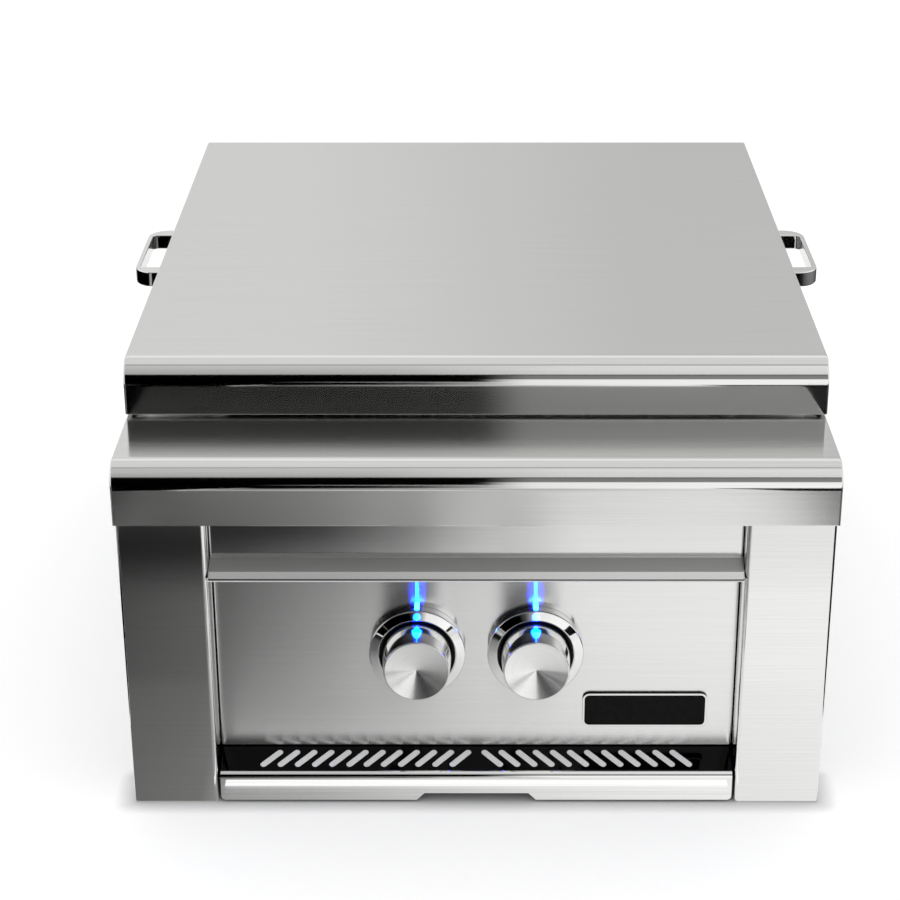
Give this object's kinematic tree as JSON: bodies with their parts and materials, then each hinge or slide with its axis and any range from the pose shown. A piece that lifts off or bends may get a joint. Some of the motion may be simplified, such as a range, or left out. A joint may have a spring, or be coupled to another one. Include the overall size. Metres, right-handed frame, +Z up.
{
  "type": "propane power burner",
  "caption": "Built-in outdoor-kitchen power burner: counter-top steel frame, lift-off lid, push-and-turn gas knobs, concentric ring burners and a sliding drip tray.",
  "frame": {"origin": "on the underside of the base sheet, midway across the counter frame's width and depth", "axes": "+Z up, -Y out of the front towards the cook, +X to the cook's right"},
  "size_m": [0.5586, 0.6744, 0.3155],
  "materials": {
    "brushed_stainless": "fine horizontal brushed grain",
    "polished_stainless": "polished",
    "plain_sheet": "plain mill finish",
    "brass": "turned",
    "burner_casting": "as cast",
    "valve_casting": "die cast",
    "light_lens": "clear blue, lit from behind",
    "black_enamel": "gloss field in a bright rim",
    "black_plastic": "moulded",
    "igniter_ceramic": "unglazed",
    "pad_silicone": "soft"
  },
  "bodies": {
    "root": {"bare_plate": "black_enamel", "base_pan": "plain_sheet", "burner_carrier": "plain_sheet", "casing_back": "plain_sheet", "casing_left_side": "plain_sheet", "casing_right_side": "plain_sheet", "control_panel": "brushed_stainless", "firebox_pan": "plain_sheet", "gas_inlet_fitting": "brass", "gas_manifold": "plain_sheet", "gas_supply_pipe": "plain_sheet", "heat_shield": "plain_sheet", "igniter": "igniter_ceramic", "igniter_bracket": "plain_sheet", "ignition_module": "black_plastic", "inner_burner_bowl": "burner_casting", "inner_flame_cap": "brass", "inner_mixer_face": "burner_casting", "inner_venturi": "burner_casting", "left_bezel": "polished_stainless", "left_light_lens": "light_lens", "left_orifice": "brass", "left_tray_runner": "plain_sheet", "left_valve_body": "valve_casting", "left_wing_cover": "brushed_stainless", "outer_burner_bowl": "burner_casting", "outer_flame_ring": "brass", "outer_mixer_face": "burner_casting", "outer_venturi": "burner_casting", "panel_brow": "brushed_stainless", "power_socket": "black_plastic", "right_bezel": "polished_stainless", "right_light_lens": "light_lens", "right_orifice": "brass", "right_tray_runner": "plain_sheet", "right_valve_body": "valve_casting", "right_wing_cover": "brushed_stainless", "top_frame": "brushed_stainless"},
    "lid": {"lid_shell": "brushed_stainless", "left_lid_handle": "polished_stainless", "right_lid_handle": "polished_stainless", "lid_pad_front_left": "pad_silicone", "lid_pad_front_right": "pad_silicone", "lid_pad_rear_left": "pad_silicone", "lid_pad_rear_right": "pad_silicone"},
    "tray": {"drip_tray_pan": "plain_sheet", "tray_front": "polished_stainless"},
    "grate": {"pot_grate": "brushed_stainless"},
    "centre": {"centre_grate": "brushed_stainless"},
    "left_plug": {"left_valve_plug": "brass"},
    "left_knob_body": {"left_knob": "brushed_stainless", "left_valve_stem": "brass"},
    "left_shutter": {"left_air_shutter": "plain_sheet"},
    "right_plug": {"right_valve_plug": "brass"},
    "right_knob_body": {"right_knob": "brushed_stainless", "right_valve_stem": "brass"},
    "right_shutter": {"right_air_shutter": "plain_sheet"}
  },
  "joints": [
    {"name": "lid_lift", "type": "slide", "parent": "root", "child": "lid", "axis": [0, 0, 1], "range_m": [0, 0.3]},
    {"name": "tray_slide", "type": "slide", "parent": "root", "child": "tray", "axis": [0, -1, 0], "range_m": [0, 0.4]},
    {"name": "grate_lift", "type": "slide", "parent": "root", "child": "grate", "axis": [0, 0, 1], "range_m": [0, 0.015]},
    {"name": "centre_lift", "type": "slide", "parent": "grate", "child": "centre", "axis": [0, 0, 1], "range_m": [0, 0.008]},
    {"name": "left_valve_turn", "type": "hinge", "parent": "root", "child": "left_plug", "pos_m": [-0.043, -0.2737, 0.1146], "axis": [0, -1, 0], "range_deg": [0, 200]},
    {"name": "left_knob_push", "type": "slide", "parent": "left_plug", "child": "left_knob_body", "axis": [0, 1, 0], "range_m": [0, 0.003], "stiffness_N_per_m": 900, "springref_m": -0.004},
    {"name": "left_shutter_turn", "type": "hinge", "parent": "root", "child": "left_shutter", "pos_m": [-0.043, -0.2307, 0.1146], "axis": [0, 1, 0], "range_deg": [0, 60]},
    {"name": "right_valve_turn", "type": "hinge", "parent": "root", "child": "right_plug", "pos_m": [0.043, -0.2737, 0.1146], "axis": [0, -1, 0], "range_deg": [0, 200]},
    {"name": "right_knob_push", "type": "slide", "parent": "right_plug", "child": "right_knob_body", "axis": [0, 1, 0], "range_m": [0, 0.003], "stiffness_N_per_m": 900, "springref_m": -0.004},
    {"name": "right_shutter_turn", "type": "hinge", "parent": "root", "child": "right_shutter", "pos_m": [0.043, -0.2307, 0.1146], "axis": [0, 1, 0], "range_deg": [0, 60]}
  ]
}
